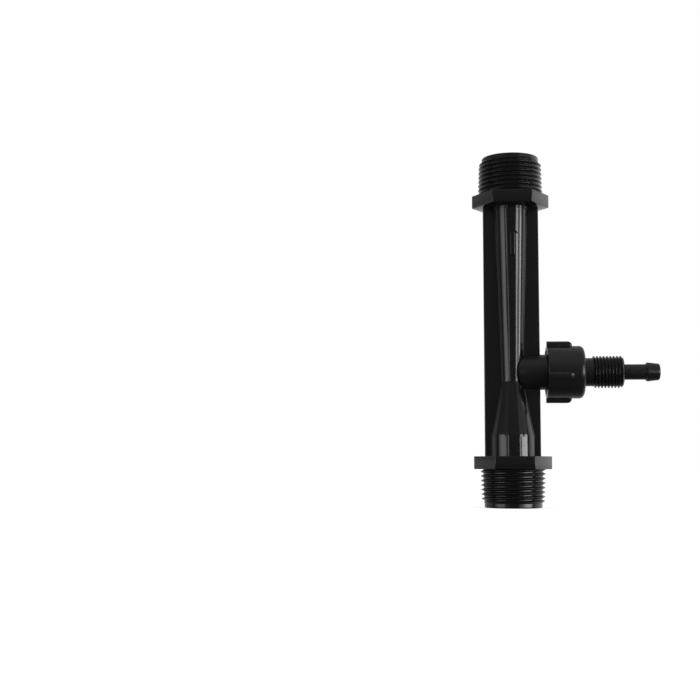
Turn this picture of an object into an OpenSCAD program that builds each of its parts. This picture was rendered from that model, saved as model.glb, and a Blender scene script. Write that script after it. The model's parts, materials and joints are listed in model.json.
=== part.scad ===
// Venturi fertilizer injector for a 3/4 inch water line, in millimetres.
// Water enters the lower end, speeds up in the nozzle and leaves through the long diffuser.
// The low pressure at the throat draws liquid in through the check valve in the side port.
// Origin: centre of the inlet face. +Z is the flow direction, +X points out of the suction port.

/* [Pipe ends] */
// Major diameter of the male pipe thread at both ends
pipe_thread_d = 26.4; // [25:0.1:32]
// Length of each pipe thread
pipe_thread_len = 13.1; // [9:0.1:20]
// Depth of the lead-in chamfer of each pipe thread
pipe_lead = 1; // [0.3:0.1:1.8]
// Diameter of the plain pilot in front of each thread
pilot_d = 23.2; // [21:0.1:24]
// Length of each pilot
pilot_len = 2.4; // [1:0.1:5]
// Bore of each pipe end
pipe_bore_d = 17.5; // [15:0.1:19]
// Size of the hexagonal collars across their flats
hex_af = 27.3; // [26.5:0.1:34]
// Thickness of each hexagonal collar
hex_t = 5.2; // [3:0.1:9]

/* [Venturi tube] */
// Length of the body from the inlet face to the outlet face
body_len = 143.5; // [125:0.5:170]
// Height of the suction axis above the inlet face
port_z = 54.8; // [50:0.1:66]
// Outer diameter of the straight inlet barrel
barrel_d = 18; // [16:0.1:21]
// Length of the inlet barrel above its collar
barrel_len = 8.3; // [4:0.1:14]
// Outer diameter of the waist, where the inlet cone meets the diffuser
waist_d = 9.2; // [8.4:0.1:12]
// How far the waist lies below the suction axis
waist_drop = 3.8; // [2:0.1:6]
// Outer diameter of the diffuser at the outlet collar
diffuser_d = 14.2; // [12:0.1:17]
// Wall of the barrel and of the diffuser's wide end
tube_wall = 2; // [1.2:0.1:2.6]
// Bore of the nozzle
nozzle_d = 4.5; // [3:0.1:5.2]
// Length of the nozzle's straight mouth
nozzle_len = 1.5; // [0.5:0.1:4]
// Bore of the throat downstream of the nozzle
throat_d = 5.5; // [5:0.1:6.6]
// Length of straight throat above the suction axis
throat_run = 3.5; // [2.5:0.1:8]

/* [Side webs] */
// Width across the two stiffening webs
web_w = 22.6; // [16:0.1:24]
// Thickness of the webs
web_t = 3; // [1.5:0.1:5]

/* [Suction port] */
// Outer diameter of the port's neck
port_d = 14.4; // [13:0.1:16.5]
// Distance from the flow axis to the rounded root of the port
port_root = 2.4; // [0:0.1:4]
// Radius of the root's corners, seen from the side
port_round = 6; // [1:0.1:6.4]
// Distance from the flow axis to the port's end face
port_reach = 22.4; // [21:0.1:26]
// Major diameter of the union thread on the port
union_thread_d = 17.9; // [17:0.1:20]
// Length of the union thread
union_thread_len = 7.4; // [5:0.1:9]
// Depth of the union thread's end chamfers
union_lead = 0.8; // [0.2:0.1:1.2]
// Bore of the hole between the valve chamber and the throat
suction_d = 3.5; // [2:0.1:4.4]
// Distance from the flow axis to the floor of the valve chamber
chamber_floor = 8; // [6.5:0.1:10]

/* [Check valve] */
// Diameter of the check ball
ball_d = 8; // [6.5:0.1:9]
// Travel of the ball off its seat
ball_lift = 3; // [1:0.1:3.5]
// Room for the flow between the ball and the chamber wall
ball_room = 0.7; // [0.5:0.1:1]
// Number of ribs that stop the open ball
stop_ribs = 3; // [3:1:5]
// Thickness of each stop rib
stop_rib_t = 1.2; // [0.8:0.1:1.6]
// Gap between the ball and its seat or stop
ball_gap = 0.1; // [0.05:0.05:0.3]
// How far the seat washer's lip reaches in under the ball
seat_lap = 0.8; // [0.4:0.1:1.5]
// Outer diameter of the seat washer and of the hose tail's flange
seat_d = 16; // [15:0.1:17]
// Thickness of the seat washer
seat_t = 2; // [1:0.1:3]

/* [Union nut] */
// Length of the nut
nut_len = 15; // [13:0.1:17]
// Wall of the nut outside its thread
nut_wall = 1.6; // [1:0.1:3]
// Thickness of the nut's inturned end
nut_floor = 2.5; // [1.6:0.1:5]
// Radius of the nut's rounded outer edge
nut_round = 1.9; // [0.5:0.1:3.2]
// Number of grip ribs
grip_ribs = 4; // [3:1:8]
// Width of each grip rib
grip_rib_w = 2.6; // [2:0.1:5]
// Height of each grip rib above the nut
grip_rib_h = 1.9; // [1:0.1:4]
// Length of each grip rib
grip_rib_len = 10.3; // [6:0.1:12.5]
// Radius of each grip rib's rounded end
grip_rib_round = 1.8; // [0.4:0.1:1.9]
// Angle at which the tightened nut stops
nut_clock = 10; // [0:1:90]
// Radial clearance between the nut and what it turns on
nut_slip = 0.15; // [0.1:0.05:0.4]

/* [Hose tail] */
// Thickness of the tail's flange
flange_t = 2; // [1:0.1:3]
// Diameter of the neck between the nut and the tail's thread
neck_d = 11.5; // [8:0.1:12.4]
// Length of the neck outside the nut
neck_len = 3.4; // [1:0.1:8]
// Major diameter of the tail's thread
tail_thread_d = 13.16; // [12.6:0.02:14]
// Length of the tail's thread with its chamfers
tail_thread_len = 12.3; // [8:0.1:18]
// Depth of the chamfers of the tail's thread
tail_lead = 0.8; // [0.2:0.1:1.4]
// Diameter of the tube behind the barb
tube_d = 6.3; // [5:0.1:7]
// Length of that tube
tube_len = 9; // [4:0.1:15]
// Largest diameter of the hose barb
barb_d = 7.7; // [7.2:0.1:9]
// Length of the barb's shoulder
barb_shoulder = 0.6; // [0.3:0.1:2]
// Length of the straight land on top of the barb
barb_land = 1.2; // [0.6:0.1:2]
// Length of the barb's taper and rounded tip
barb_nose = 3.9; // [2.5:0.1:7]
// Diameter at the end of the barb's taper
barb_tip_d = 6.6; // [5.6:0.1:7]
// Radius of the rounded tip
tip_round = 1; // [0.2:0.1:1.2]
// Bore of the hose tail
tail_bore_d = 3.5; // [2:0.1:3.6]

/* [Hidden] */
$fn = 96;
black_gloss = "#161618";
black_satin = "#232325";

// Heights along the flow axis
thread_end = pilot_len + pipe_thread_len;
collar_end = thread_end + hex_t;
barrel_top = collar_end + barrel_len;
waist_z = port_z - waist_drop;
outlet_collar = body_len - collar_end;

// Places along the port axis, measured from the flow axis
seat_face = port_reach + seat_t;
nut_shoulder = seat_face + flange_t;
nut_end = nut_shoulder + nut_floor;
nut_start = nut_end - nut_len;
tail_thread_start = nut_end + neck_len;
tail_thread_end = tail_thread_start + tail_thread_len;
barb_start = tail_thread_end + tube_len;
land_start = barb_start + barb_shoulder;
land_end = land_start + barb_land;
tail_end = land_end + barb_nose;

// The check valve, from the ball that it is built round
seat_hole_d = ball_d - 2 * seat_lap;
chamber_d = ball_d + 2 * ball_room;
function ball_depth(at_r) = sqrt(pow(ball_d / 2, 2) - pow(at_r, 2));
ball_x = port_reach - ball_depth(seat_hole_d / 2) - ball_gap;
stop_rib_r = suction_d / 2;
stop_top = ball_x - ball_lift - ball_depth(stop_rib_r) - ball_gap;

// The nut, from the thread that it runs on
nut_bore_r = union_thread_d / 2 + nut_slip;
nut_r = nut_bore_r + nut_wall;
seat_bore_r = seat_d / 2 + nut_slip;
nut_hole_r = tail_thread_d / 2 + nut_slip;
nut_relief = 0.5;

// Small overlaps that keep joined shapes in one solid and cuts clean
sink = 0.5;
edge = 0.4;

// Stands a revolved shape on the port axis, its own Z pointing out of the port
module along_port() {
    translate([0, 0, port_z])
        rotate([0, 90, 0])
            children();
}

// A bar from y = 0 to len and x = 0 to r whose outer end corner is an arc
module round_ended_bar(r, len, round) {
    square([r, len - round]);
    square([r - round, len]);
    translate([r - round, len - round])
        circle(round);
}

// One threaded pipe end with its pilot and hexagonal collar, standing on z = 0
module pipe_end() {
    pilot_r = pilot_d / 2;
    crest_r = pipe_thread_d / 2;
    rotate_extrude()
        polygon([
            [0, 0],
            [pilot_r - edge, 0],
            [pilot_r, edge],
            [pilot_r, pilot_len],
            [crest_r - pipe_lead, pilot_len],
            [crest_r, pilot_len + pipe_lead],
            [crest_r, thread_end],
            [0, thread_end]
        ]);
    translate([0, 0, thread_end])
        cylinder(h = hex_t, d = hex_af / cos(30), $fn = 6);
}

// Outside of the barrel, the inlet cone and the diffuser
module tube_outside() {
    rotate_extrude()
        polygon([
            [0, collar_end - sink],
            [barrel_d / 2, collar_end - sink],
            [barrel_d / 2, barrel_top],
            [waist_d / 2, waist_z],
            [diffuser_d / 2, outlet_collar],
            [diffuser_d / 2, outlet_collar + sink],
            [0, outlet_collar + sink]
        ]);
}

// Flat webs that tie the two collars together on both sides of the tube
module side_webs() {
    translate([-web_w / 2, -web_t / 2, collar_end - sink])
        cube([web_w, web_t, outlet_collar - collar_end + 2 * sink]);
}

// Round neck of the port, whose root has rounded corners when seen from the front
module port_neck(len) {
    half = port_d / 2 + edge;
    intersection() {
        translate([0, 0, port_root - sink])
            cylinder(h = len + sink, d = port_d);
        translate([0, port_d, port_root + len + sink])
            rotate([90, 0, 0])
                linear_extrude(2 * port_d)
                    for (side = [0, 1])
                        mirror([side, 0])
                            mirror([0, 1])
                                round_ended_bar(half, len + sink, port_round + edge);
    }
}

// Suction port with its neck and the thread for the union nut
module port_outside() {
    thread_start = port_reach - union_thread_len;
    crest_r = union_thread_d / 2;
    port_neck(thread_start + union_lead - port_root);
    rotate_extrude()
        polygon([
            [0, thread_start],
            [crest_r - union_lead, thread_start],
            [crest_r, thread_start + union_lead],
            [crest_r, port_reach - union_lead],
            [crest_r - union_lead, port_reach],
            [0, port_reach]
        ]);
}

// The way of the water: inlet, nozzle, stepped throat, diffuser and outlet
module flow_passage() {
    pipe_r = pipe_bore_d / 2;
    rotate_extrude()
        polygon([
            [0, -sink],
            [pipe_r, -sink],
            [pipe_r, thread_end],
            [barrel_d / 2 - tube_wall, collar_end],
            [barrel_d / 2 - tube_wall, barrel_top],
            [nozzle_d / 2, waist_z - nozzle_len],
            [nozzle_d / 2, waist_z],
            [throat_d / 2, waist_z],
            [throat_d / 2, port_z + throat_run],
            [diffuser_d / 2 - tube_wall, outlet_collar],
            [pipe_r, body_len - thread_end],
            [pipe_r, body_len + sink],
            [0, body_len + sink]
        ]);
}

// The way of the drawn-in liquid: valve chamber and the hole into the throat
module suction_passage() {
    cylinder(h = port_reach, d = suction_d);
    translate([0, 0, chamber_floor])
        cylinder(h = port_reach - chamber_floor + sink, d = chamber_d);
}

// Ribs on the chamber floor that stop the open ball and let the liquid past it
module ball_stop() {
    intersection() {
        for (k = [0 : stop_ribs - 1])
            rotate([0, 0, k * 360 / stop_ribs])
                translate([stop_rib_r, -stop_rib_t / 2, chamber_floor - sink])
                    cube([chamber_d / 2, stop_rib_t, stop_top - chamber_floor + sink]);
        cylinder(h = port_reach, d = chamber_d + 2 * sink);
    }
}

module injector_body() {
    color(black_gloss) {
        difference() {
            union() {
                pipe_end();
                translate([0, 0, body_len])
                    mirror([0, 0, 1])
                        pipe_end();
                tube_outside();
                side_webs();
                along_port()
                    port_outside();
            }
            flow_passage();
            along_port()
                suction_passage();
        }
        along_port()
            ball_stop();
    }
}

// Flat rubber washer on the port's end face: seal of the union and seat of the ball
module seat_washer() {
    color("dimgray")
        along_port()
            translate([0, 0, port_reach])
                difference() {
                    cylinder(h = seat_t, d = seat_d);
                    translate([0, 0, -sink])
                        cylinder(h = seat_t + 2 * sink, d = seat_hole_d);
                }
}

module check_ball() {
    color("ivory")
        translate([ball_x, 0, port_z])
            sphere(d = ball_d);
}

// One grip rib along the nut, on its own +X side
module grip_rib() {
    translate([0, grip_rib_w / 2, nut_start])
        rotate([90, 0, 0])
            linear_extrude(grip_rib_w)
                difference() {
                    round_ended_bar(nut_r + grip_rib_h, grip_rib_len, grip_rib_round);
                    square([nut_r - nut_wall / 2, grip_rib_len]);
                }
}

// Stepped bore of the nut: thread, seat of washer and flange, hole for the tail
module nut_bore() {
    thread_stop = port_reach + nut_relief;
    translate([0, 0, nut_start - sink])
        cylinder(h = thread_stop - nut_start + sink, r = nut_bore_r);
    translate([0, 0, nut_start])
        cylinder(h = nut_shoulder - nut_start, r = seat_bore_r);
    translate([0, 0, nut_start])
        cylinder(h = nut_len + sink, r = nut_hole_r);
}

module union_nut() {
    color(black_satin)
        along_port()
            rotate([0, 0, nut_clock])
                difference() {
                    union() {
                        translate([0, 0, nut_start])
                            rotate_extrude()
                                round_ended_bar(nut_r, nut_len, nut_round);
                        for (k = [0 : grip_ribs - 1])
                            rotate([0, 0, k * 360 / grip_ribs])
                                grip_rib();
                    }
                    nut_bore();
                }
}

// Flange, guide land, neck, threaded shank, tube and barb, turned about the port axis
module hose_tail() {
    land_r = nut_hole_r - nut_slip;
    crest_r = tail_thread_d / 2;
    barb_r = barb_d / 2;
    tip_r = barb_tip_d / 2;
    color(black_satin)
        along_port()
            difference() {
                rotate_extrude() {
                    polygon([
                        [0, seat_face],
                        [seat_d / 2, seat_face],
                        [seat_d / 2, nut_shoulder],
                        [land_r, nut_shoulder],
                        [land_r, nut_end - edge],
                        [neck_d / 2, nut_end - edge],
                        [neck_d / 2, tail_thread_start],
                        [crest_r - tail_lead, tail_thread_start],
                        [crest_r, tail_thread_start + tail_lead],
                        [crest_r, tail_thread_end - tail_lead],
                        [crest_r - tail_lead, tail_thread_end],
                        [tube_d / 2, tail_thread_end],
                        [tube_d / 2, barb_start],
                        [barb_r, land_start],
                        [barb_r, land_end],
                        [tip_r, tail_end - tip_round],
                        [tip_r - tip_round, tail_end - tip_round],
                        [tip_r - tip_round, tail_end],
                        [0, tail_end]
                    ]);
                    translate([tip_r - tip_round, tail_end - tip_round])
                        circle(tip_round);
                }
                translate([0, 0, seat_face - sink])
                    cylinder(h = tail_end - seat_face + 2 * sink, d = tail_bore_d);
            }
}

injector_body();
seat_washer();
check_ball();
union_nut();
hose_tail();
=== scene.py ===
"""Venturi fertilizer injector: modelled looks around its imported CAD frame."""

import json
import math
from typing import NamedTuple

import bpy
from bpy.props import FloatProperty, FloatVectorProperty, IntProperty, PointerProperty
from bpy.types import Operator, Panel, PropertyGroup
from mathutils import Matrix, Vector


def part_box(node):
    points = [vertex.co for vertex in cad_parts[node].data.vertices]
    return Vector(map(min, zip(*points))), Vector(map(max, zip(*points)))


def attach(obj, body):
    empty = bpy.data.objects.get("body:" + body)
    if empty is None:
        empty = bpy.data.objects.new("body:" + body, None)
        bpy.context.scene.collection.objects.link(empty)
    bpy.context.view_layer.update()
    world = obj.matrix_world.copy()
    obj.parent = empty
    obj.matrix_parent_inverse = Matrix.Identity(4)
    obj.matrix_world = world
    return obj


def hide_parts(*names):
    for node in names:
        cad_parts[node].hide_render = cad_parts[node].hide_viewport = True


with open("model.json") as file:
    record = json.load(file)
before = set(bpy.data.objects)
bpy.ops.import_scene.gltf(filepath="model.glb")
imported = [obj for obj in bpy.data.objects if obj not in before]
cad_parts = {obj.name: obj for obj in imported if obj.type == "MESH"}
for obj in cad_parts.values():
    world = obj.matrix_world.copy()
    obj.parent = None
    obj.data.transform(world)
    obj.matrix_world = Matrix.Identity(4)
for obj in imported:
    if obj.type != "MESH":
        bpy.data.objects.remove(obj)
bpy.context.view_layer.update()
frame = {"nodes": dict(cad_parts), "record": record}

bl_info = {
    "name": "Venturi Injector Builder",
    "version": (1, 0, 0),
    "blender": (4, 5, 0),
    "location": "View3D > Sidebar > Injector",
    "description": "Models a venturi fertilizer injector with its union nut, hose tail and studio stage",
    "category": "Add Mesh",
}

MM = 0.001
# Points closer than this are merged
WELD = 0.0005 * MM
# Points closer than this count as level when edges are picked
LEVEL = 0.01 * MM
# How far joined shapes reach into each other, and how far cutting shapes run past a face
SINK = 0.5 * MM
PAST = 1.0 * MM
# How far a thread's lead-in starts under the face that it grows out of
TUCK = 0.1 * MM
# Steps of a full turn, largest step of a rounded corner, and length of the supports beside it
TURN_STEPS = 128
ARC_STEP = math.radians(12)
SUPPORT = 0.2 * MM
SMOOTH_ANGLE = math.radians(28)

MOUNTS = {mount["name"]: mount for mount in frame["record"]["mounts"]}
BODY_LOW, BODY_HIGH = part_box("injector_body")
NUT_LOW, NUT_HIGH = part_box("union_nut")
TAIL_LOW, TAIL_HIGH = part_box("hose_tail")
# Height of the suction axis, and end face of the port, on which the washer lies
PORT_Z = MOUNTS["suction_thread"]["pos_m"][2]
PORT_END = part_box("seat_washer")[0].x


def mount_radius(name):
    """Radius in metres of one of the part's round mounts."""
    return MOUNTS[name]["dims"]["r_mm"] * MM


def length(name, description, default):
    """A length in metres that a user can change."""
    return FloatProperty(name=name, description=description, default=default, min=0.0, unit="LENGTH")


def colour(name, description, default):
    """A linear colour that a user can change."""
    return FloatVectorProperty(name=name, description=description, default=default, size=3, min=0.0, max=1.0,
                               subtype="COLOR")


class PipeEndSizes(PropertyGroup):
    """The two threaded ends and their collars."""

    thread_r: length("Thread radius", "Radius over the pipe thread at the collar",
                     mount_radius("inlet_thread"))
    thread_depth: length("Thread depth", "Depth of the pipe thread", 1.16 * MM)
    thread_pitch: length("Thread pitch", "Distance between two turns, 14 to the inch", 25.4 / 14 * MM)
    thread_taper: FloatProperty(name="Taper", description="Loss of radius for each length of thread",
                                default=1 / 32)
    thread_end: length("Thread end", "Distance from the end face to the collar", 15.5 * MM)
    inlet_start: length("Inlet thread start", "Distance from the inlet face to the first turn", 1.7 * MM)
    inlet_crest: length("Inlet crest", "Distance from the inlet face to a crest on the port's side",
                        8.2 * MM)
    outlet_start: length("Outlet thread start", "Distance from the outlet face to the first turn", 1.5 * MM)
    outlet_crest: length("Outlet crest", "Distance from the outlet face to a crest on the port's side",
                         8.7 * MM)
    thread_lead: length("Lead-in", "Height of the chamfer at the first turn", 1.0 * MM)
    pilot_r: length("Pilot radius", "Radius of the plain pilot in front of the thread", 11.6 * MM)
    pilot_h: length("Pilot length", "Length of the plain pilot", 2.0 * MM)
    pilot_edge: length("Pilot edge", "Rounding of the pilot's rims", 0.4 * MM)
    bore_r: length("Bore radius", "Radius of the bore in each end", mount_radius("inlet_bore"))
    hex_corner: length("Collar radius", "Radius of the collars over their corners", -BODY_LOW.x)
    hex_h: length("Collar thickness", "Thickness of each hexagonal collar", 5.2 * MM)
    hex_edge: length("Collar edge", "Rounding of the collars' edges", 0.2 * MM)


class TubeSizes(PropertyGroup):
    """The waisted tube, its webs and the flow arrow."""

    barrel_r: length("Barrel radius", "Outer radius of the inlet barrel", 9.0 * MM)
    barrel_top: length("Barrel top", "Height at which the inlet cone starts", 29.0 * MM)
    barrel_round: length("Barrel rounding", "Rounding between the barrel and the inlet cone", 5.0 * MM)
    waist_r: length("Waist radius", "Outer radius where the cones meet", 4.6 * MM)
    waist_z: length("Waist height", "Height at which the cones meet", 51.0 * MM)
    waist_round: length("Waist rounding", "Rounding between the two cones", 3.0 * MM)
    diffuser_r: length("Diffuser radius", "Outer radius of the diffuser at the outlet collar", 7.1 * MM)
    wall: length("Wall", "Wall of the barrel and the diffuser", 2.0 * MM)
    nozzle_r: length("Nozzle radius", "Radius of the nozzle's mouth", 2.25 * MM)
    nozzle_h: length("Nozzle length", "Length of the nozzle's straight mouth", 1.5 * MM)
    throat_r: length("Throat radius", "Radius of the throat after the nozzle", 2.75 * MM)
    throat_run: length("Throat run", "Straight throat above the suction axis", 3.5 * MM)
    passage_round: length("Passage rounding", "Rounding of the passage's corners", 1.0 * MM)
    cone_round: length("Cone rounding", "Rounding where the passage starts to narrow", 3.0 * MM)
    throat_round: length("Throat rounding", "Rounding between the throat and the diffuser", 2.0 * MM)
    web_w: length("Web width", "Width across both side webs", 22.6 * MM)
    web_t: length("Web thickness", "Thickness of the side webs", 3.0 * MM)
    web_edge: length("Web edge", "Rounding of the webs' long edges", 0.5 * MM)
    arrow_x: length("Arrow place", "Distance from the tube's middle to the flow arrow", 0.4 * MM)
    arrow_low: length("Arrow foot", "Height of the foot of the flow arrow", 102.2 * MM)
    arrow_high: length("Arrow tip", "Height of the tip of the flow arrow", 114.4 * MM)
    arrow_shaft_w: length("Arrow shaft", "Width of the arrow's shaft", 2.0 * MM)
    arrow_head_w: length("Arrow head", "Width of the arrow's head", 4.4 * MM)
    arrow_head_h: length("Arrow head length", "Length of the arrow's head", 3.2 * MM)
    arrow_proud: length("Arrow relief", "How far the arrow stands out of the diffuser", 0.45 * MM)
    arrow_base: length("Arrow base", "Depth of the arrow with its foot in the wall", 1.5 * MM)
    arrow_edge: length("Arrow edge", "Rounding of the arrow's rim", 0.4 * MM)


class PortSizes(PropertyGroup):
    """The suction port on the body's side."""

    root_x: length("Port root", "Distance from the flow axis to the port's root", 2.4 * MM)
    root_round: length("Root corners", "Rounding of the root's corners, seen from the front", 6.4 * MM)
    root_half: length("Root half width", "Half width of the outline that rounds the root", 7.6 * MM)
    root_depth: length("Root depth", "Half of the neck's depth at its root", 5.3 * MM)
    root_end: length("Root end", "Distance from the flow axis to where the neck is round", 11.0 * MM)
    neck_r: length("Neck radius", "Radius of the port's neck", 7.2 * MM)
    thread_x: length("Thread start", "Distance from the flow axis to the union thread", 15.0 * MM)
    thread_r: length("Union thread radius", "Radius over the union thread", 8.95 * MM)
    thread_depth: length("Union thread depth", "Depth of the union thread", 0.9 * MM)
    thread_pitch: length("Union thread pitch", "Distance between two turns", 1.5 * MM)
    thread_lead: length("Union lead-in", "Height of the chamfer at the union thread's ends", 0.8 * MM)
    chamber_r: length("Chamber radius", "Radius of the check valve's chamber", 4.7 * MM)
    chamber_x: length("Chamber floor", "Distance from the flow axis to the chamber's floor", 8.0 * MM)
    chamber_round: length("Chamber rounding", "Rounding of the chamber's floor", 0.4 * MM)
    mouth_edge: length("Mouth edge", "Chamfer of the chamber's mouth", 0.3 * MM)
    suction_r: length("Suction radius", "Radius of the hole into the throat", 1.75 * MM)
    rib_t: length("Stop rib", "Thickness of the ribs that stop the ball", 1.2 * MM)
    rib_x: length("Stop rib end", "Distance from the flow axis to the ribs' ends", 13.2 * MM)
    rib_gap: length("Stop rib gap", "Distance from the suction hole to the ribs", 0.1 * MM)
    rib_edge: length("Stop rib edge", "Rounding of the ribs' ends", 0.2 * MM)
    rib_count: IntProperty(name="Stop ribs", description="Number of ribs that stop the ball", default=3,
                           min=2)


class NutSizes(PropertyGroup):
    """The union nut."""

    body_r: length("Nut radius", "Radius of the nut between its ribs", 10.7 * MM)
    end_round: length("End rounding", "Rounding of the nut's outer end", 1.9 * MM)
    start_round: length("Start rounding", "Rounding of the nut's rim at the body", 0.35 * MM)
    bore_r: length("Seat bore", "Radius of the bore round washer and flange", 8.15 * MM)
    shoulder_x: length("Shoulder", "Distance from the flow axis to the inturned end", 26.4 * MM)
    hole_r: length("Hole radius", "Radius of the hole for the hose tail", 6.73 * MM)
    mouth_edge: length("Mouth edge", "Chamfer of the mouth that takes the port", 0.3 * MM)
    seat_round: length("Seat rounding", "Rounding in the corner of the seat bore", 0.2 * MM)
    hole_edge: length("Hole edge", "Chamfer at the outer end of the hole", 0.4 * MM)
    thread_stop: length("Thread stop", "Distance from the flow axis to the end of the nut's thread",
                        22.9 * MM)
    thread_slip: length("Thread clearance", "Clearance of the nut's thread on the port", 0.12 * MM)
    rib_r: length("Rib radius", "Radius over the grip ribs", 12.6 * MM)
    rib_root: length("Rib root", "Depth to which the grip ribs reach into the nut", 0.7 * MM)
    rib_w: length("Rib width", "Width of each grip rib", 2.6 * MM)
    rib_len: length("Rib length", "Length of each grip rib", 10.3 * MM)
    rib_round: length("Rib end rounding", "Rounding of each rib's end", 1.8 * MM)
    rib_edge: length("Rib edge", "Rounding of each rib's long edges", 0.9 * MM)
    rib_count: IntProperty(name="Grip ribs", description="Number of grip ribs", default=4, min=2)
    clock: FloatProperty(name="Clocking", description="Angle at which the tightened nut stops",
                         default=math.radians(10), subtype="ANGLE")


class TailSizes(PropertyGroup):
    """The hose tail."""

    flange_r: length("Flange radius", "Radius of the flange inside the nut", 8.0 * MM)
    flange_end: length("Flange end", "Distance from the flow axis to the flange's face, clear of the nut",
                       26.35 * MM)
    flange_edge: length("Flange edge", "Rounding of the flange and the land", 0.2 * MM)
    land_end: length("Land end", "Distance from the flow axis to the end of the nut's guide land", 28.5 * MM)
    neck_r: length("Neck radius", "Radius of the neck outside the nut", 5.75 * MM)
    thread_x: length("Thread start", "Distance from the flow axis to the thread", 32.3 * MM)
    thread_end: length("Thread end", "Distance from the flow axis to the thread's end", 44.6 * MM)
    thread_r: length("Thread radius", "Radius over the thread", mount_radius("suction_thread"))
    thread_depth: length("Thread depth", "Depth of the thread", 0.85 * MM)
    thread_pitch: length("Thread pitch", "Distance between two turns, 19 to the inch", 25.4 / 19 * MM)
    thread_crest: length("Thread crest", "Distance from the flow axis to a crest on the inlet's side",
                         33.55 * MM)
    thread_run_in: length("Run-in", "Height of the chamfer at the thread's start", 0.4 * MM)
    thread_lead: length("Lead-in", "Height of the chamfer at the thread's end", 0.8 * MM)
    tube_r: length("Tube radius", "Radius of the tube behind the barb", 3.15 * MM)
    barb_x: length("Barb start", "Distance from the flow axis to the barb's shoulder", 53.6 * MM)
    barb_r: length("Barb radius", "Largest radius of the barb", mount_radius("hose_barb"))
    barb_shoulder: length("Barb shoulder", "Length of the barb's shoulder", 0.6 * MM)
    barb_land: length("Barb land", "Length of the straight land on the barb", 0.5 * MM)
    barb_root: length("Barb root", "Rounding between the tube and the barb", 0.3 * MM)
    barb_edge: length("Barb edge", "Rounding of the barb's gripping edge", 0.15 * MM)
    barb_round: length("Barb rounding", "Rounding between the barb's land and its taper", 0.6 * MM)
    tip_r: length("Tip radius", "Radius at the end of the barb's taper", 3.3 * MM)
    tip_round: length("Tip rounding", "Rounding of the barb's tip", 0.7 * MM)
    bore_r: length("Tail bore", "Radius of the passage", mount_radius("suction_bore"))
    bore_lead: length("Bore lead", "Chamfer of the passage inside the union", 0.5 * MM)
    bore_edge: length("Bore edge", "Chamfer of the passage at the tip", 0.3 * MM)


class FinishLooks(PropertyGroup):
    """Colours of the four materials."""

    gloss_black: colour("Body black", "Glossy black of the body", (0.0066, 0.0066, 0.0072))
    satin_black: colour("Fitting black", "Satin black of the nut and the tail", (0.0080, 0.0079, 0.0084))
    washer_grey: colour("Washer grey", "Rubber of the seat washer", (0.035, 0.035, 0.036))
    ball_white: colour("Ball white", "Plastic of the check ball", (0.72, 0.70, 0.65))


class StageSettings(PropertyGroup):
    """The camera and the studio."""

    eye: FloatVectorProperty(name="Camera place", description="Where the camera stands", size=3,
                             unit="LENGTH", default=(-32.6 * MM, -496.1 * MM, 17.5 * MM))
    yaw: FloatProperty(name="Camera yaw", description="Turn of the view to the right", subtype="ANGLE",
                       default=math.radians(-3.885))
    pitch: FloatProperty(name="Camera pitch", description="Rise of the view", subtype="ANGLE",
                         default=math.radians(5.380))
    roll: FloatProperty(name="Camera roll", description="Turn of the picture about its middle",
                        subtype="ANGLE", default=math.radians(0.078))
    sensor: FloatProperty(name="Sensor", description="Side of the camera's square sensor in mm", default=36.0,
                          min=1.0)
    lens: FloatProperty(name="Lens", description="Focal length in mm", default=62.26, min=1.0)
    left_light: FloatProperty(name="Left softbox", description="Radiance of the left softbox panels",
                              default=2.3, min=0.0)
    right_light: FloatProperty(name="Right softbox", description="Radiance of the right softbox panels",
                               default=7.5, min=0.0)
    fill: FloatProperty(name="Fill", description="Soft light from all round", default=0.55, min=0.0)


# Selection and modelling helpers

def select_only(obj):
    """Makes obj the one selected and active object."""
    bpy.ops.object.select_all(action="DESELECT")
    obj.select_set(True)
    bpy.context.view_layer.objects.active = obj


def edit(obj):
    """Opens obj in edit mode with all of it selected."""
    select_only(obj)
    bpy.ops.object.mode_set(mode="EDIT")
    bpy.ops.mesh.select_all(action="SELECT")


def leave_edit():
    """Goes back to object mode."""
    bpy.ops.object.mode_set(mode="OBJECT")


def weld(obj):
    """Merges double points and turns all faces outwards."""
    edit(obj)
    bpy.ops.mesh.remove_doubles(threshold=WELD)
    bpy.ops.mesh.select_all(action="SELECT")
    bpy.ops.mesh.normals_make_consistent(inside=False)
    leave_edit()


def apply_place(obj):
    """Moves an object's place, turn and scale into its mesh."""
    select_only(obj)
    bpy.ops.object.transform_apply(location=True, rotation=True, scale=True)


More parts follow.
